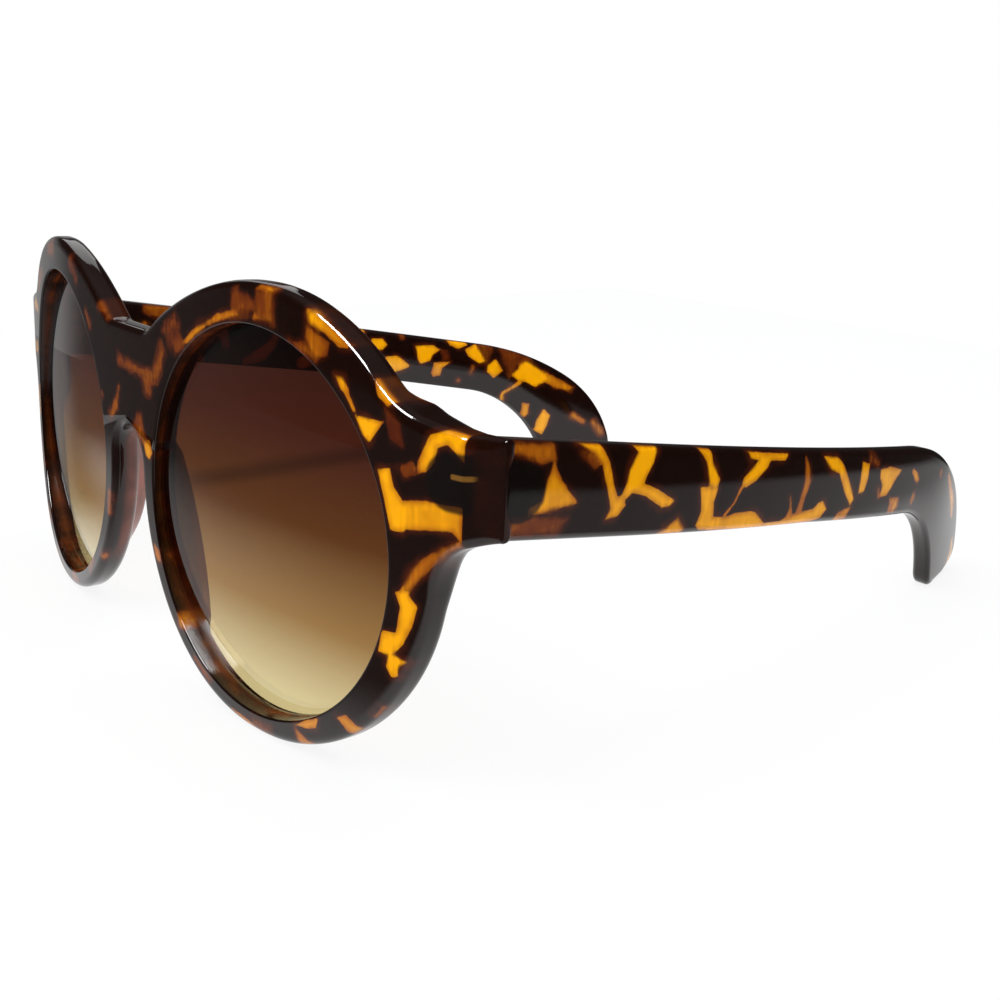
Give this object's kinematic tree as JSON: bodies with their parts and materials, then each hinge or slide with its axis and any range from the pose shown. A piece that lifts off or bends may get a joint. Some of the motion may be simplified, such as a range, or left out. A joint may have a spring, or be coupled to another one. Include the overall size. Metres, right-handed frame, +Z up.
{
  "type": "sunglasses",
  "caption": "Round sunglasses: a thick moulded front with its own nose pads, tinted lenses in grooves, and folding temples with hooked ear ends on screwed hinges.",
  "frame": {"origin": "on the level surface that the pair stands on, under the middle of its bounding box", "axes": "+X to the wearer's left, +Y backwards along the open temples, +Z up"},
  "size_m": [0.148, 0.1429, 0.0603],
  "materials": {
    "shell": "polished",
    "lens": "polished",
    "hinge_metal": "polished"
  },
  "bodies": {
    "front": {"front_frame": "shell", "lens_left": "lens", "lens_right": "lens", "front_hinge_left": "hinge_metal", "front_hinge_right": "hinge_metal", "hinge_screw_left": "hinge_metal", "hinge_screw_right": "hinge_metal"},
    "left_temple": {"temple_left": "shell", "temple_hinge_left": "hinge_metal"},
    "right_temple": {"temple_right": "shell", "temple_hinge_right": "hinge_metal"}
  },
  "joints": [
    {"name": "left_fold", "type": "hinge", "parent": "front", "child": "left_temple", "pos_m": [0.068, -0.05526, 0.0405], "axis": [0, 0.0279, 0.9996], "range_deg": [0, 80]},
    {"name": "right_fold", "type": "hinge", "parent": "front", "child": "right_temple", "pos_m": [-0.068, -0.05526, 0.0405], "axis": [0, 0.0279, 0.9996], "range_deg": [-72, 0]}
  ]
}
